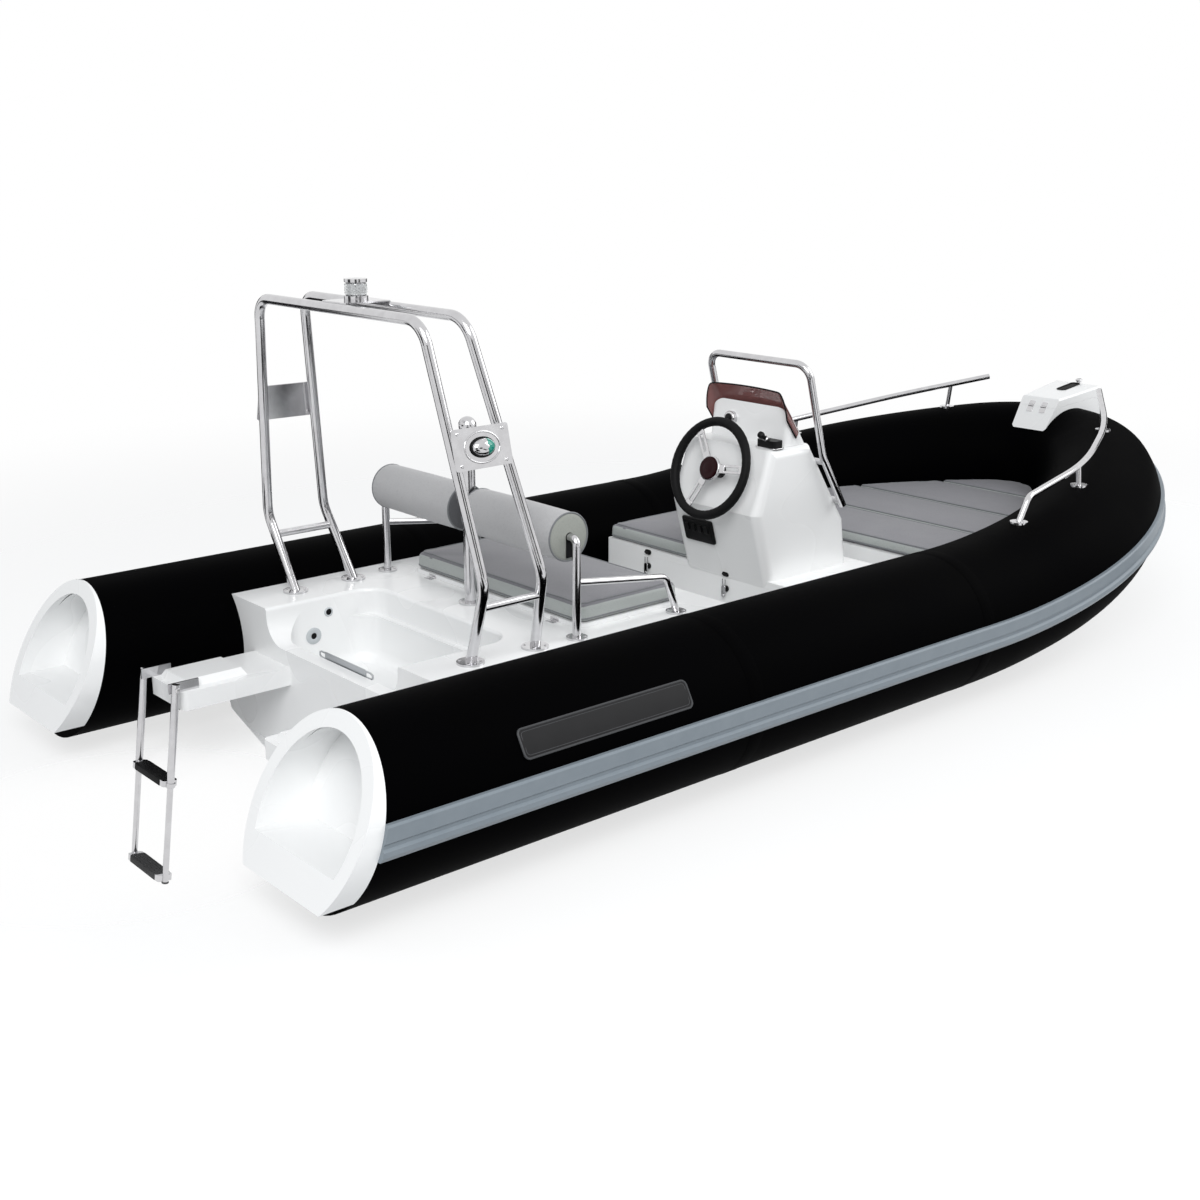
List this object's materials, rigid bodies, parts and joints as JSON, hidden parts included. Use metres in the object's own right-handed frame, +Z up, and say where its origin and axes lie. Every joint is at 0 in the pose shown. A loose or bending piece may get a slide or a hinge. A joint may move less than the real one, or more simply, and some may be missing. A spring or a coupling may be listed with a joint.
{
  "type": "rigid inflatable boat",
  "caption": "Open rigid inflatable boat: V hull between black inflated tubes, roll bar, folding boarding ladder, tilting side console, padded seats, bow box and handrails.",
  "frame": {"origin": "on the centreline, at the transom's outer face, on the waterline", "axes": "+X to the bow, +Y to port, +Z up"},
  "size_m": [5.0364, 2.232, 1.9376],
  "materials": {
    "tube_fabric": "matte coated fabric",
    "strake_rubber": "satin extruded rubber",
    "gelcoat": "glossy white gelcoat on glass-reinforced plastic",
    "black_plastic": "moulded, fine grain",
    "stainless": "polished stainless steel",
    "upholstery": "grey marine vinyl over foam",
    "bolster_vinyl": "pale grey marine vinyl over foam",
    "tinted_screen": "brown tinted acrylic",
    "clamp_plate": "brushed"
  },
  "bodies": {
    "boat": {"port_tube": "tube_fabric", "starboard_tube": "tube_fabric", "port_bow_tube": "tube_fabric", "starboard_bow_tube": "tube_fabric", "port_rub_strake": "strake_rubber", "starboard_rub_strake": "strake_rubber", "port_bow_strake": "strake_rubber", "starboard_bow_strake": "strake_rubber", "hull": "gelcoat", "stern_deck": "gelcoat", "rear_seat_box": "gelcoat", "port_platform": "gelcoat", "starboard_platform": "gelcoat", "console_locker": "gelcoat", "bow_deck": "gelcoat", "bow_box": "gelcoat", "port_stern_cap": "gelcoat", "starboard_stern_cap": "gelcoat", "mast_light": "black_plastic", "ladder_brackets": "stainless", "roll_bar_aft_hoop": "stainless", "roll_bar_forward_hoop": "stainless", "roll_bar_feet": "stainless", "roll_bar_braces": "stainless", "light_plates": "stainless", "side_lights": "stainless", "port_seat_frame": "stainless", "starboard_seat_frame": "stainless", "tow_post": "stainless", "port_bow_rail": "stainless", "starboard_bow_rail": "stainless", "bow_eye": "stainless", "bow_cushion_1": "upholstery", "bow_cushion_2": "upholstery", "bow_cushion_3": "upholstery", "bow_cushion_4": "upholstery", "port_bolster": "bolster_vinyl", "starboard_bolster": "bolster_vinyl", "transom_plate": "clamp_plate"},
    "console": {"console_shell": "gelcoat", "windscreen": "tinted_screen", "console_rail": "stainless", "helm_column": "black_plastic", "throttle": "black_plastic", "gauge": "black_plastic", "side_cushion": "upholstery"},
    "steering_wheel": {"steering_wheel": "black_plastic"},
    "ladder_upper": {"ladder_upper": "stainless"},
    "ladder_lower": {"ladder_lower": "stainless"},
    "rear_seat": {"rear_seat_board": "gelcoat", "rear_seat_cushion": "upholstery"},
    "anchor_lid": {"anchor_lid": "gelcoat"}
  },
  "joints": [
    {"name": "console_tilt", "type": "hinge", "parent": "boat", "child": "console", "pos_m": [2.19, 0, 0.4023], "axis": [0, 1, 0], "range_deg": [0, 60]},
    {"name": "steering", "type": "hinge", "parent": "console", "child": "steering_wheel", "pos_m": [1.58488, -0.144, 0.84538], "axis": [-0.9499, 0, 0.3126], "range_deg": [-540, 540]},
    {"name": "ladder_swing", "type": "hinge", "parent": "boat", "child": "ladder_upper", "pos_m": [-0.413, 0.377, 0.327], "axis": [0, 1, 0], "range_deg": [0, 254]},
    {"name": "ladder_slide", "type": "slide", "parent": "ladder_upper", "child": "ladder_lower", "axis": [0.1357, 0, 0.9907], "range_m": [0, 0.27]},
    {"name": "rear_seat_lift", "type": "hinge", "parent": "boat", "child": "rear_seat", "pos_m": [0.66, 0, 0.4853], "axis": [0, -1, 0], "range_deg": [0, 38]},
    {"name": "anchor_lid", "type": "hinge", "parent": "boat", "child": "anchor_lid", "pos_m": [3.934, 0, 0.8091], "axis": [0, -1, 0], "range_deg": [0, 110]}
  ],
  "couplings": [
    {"joint": "ladder_slide", "follows": "ladder_swing", "m_per_rad": 0.0609}
  ]
}
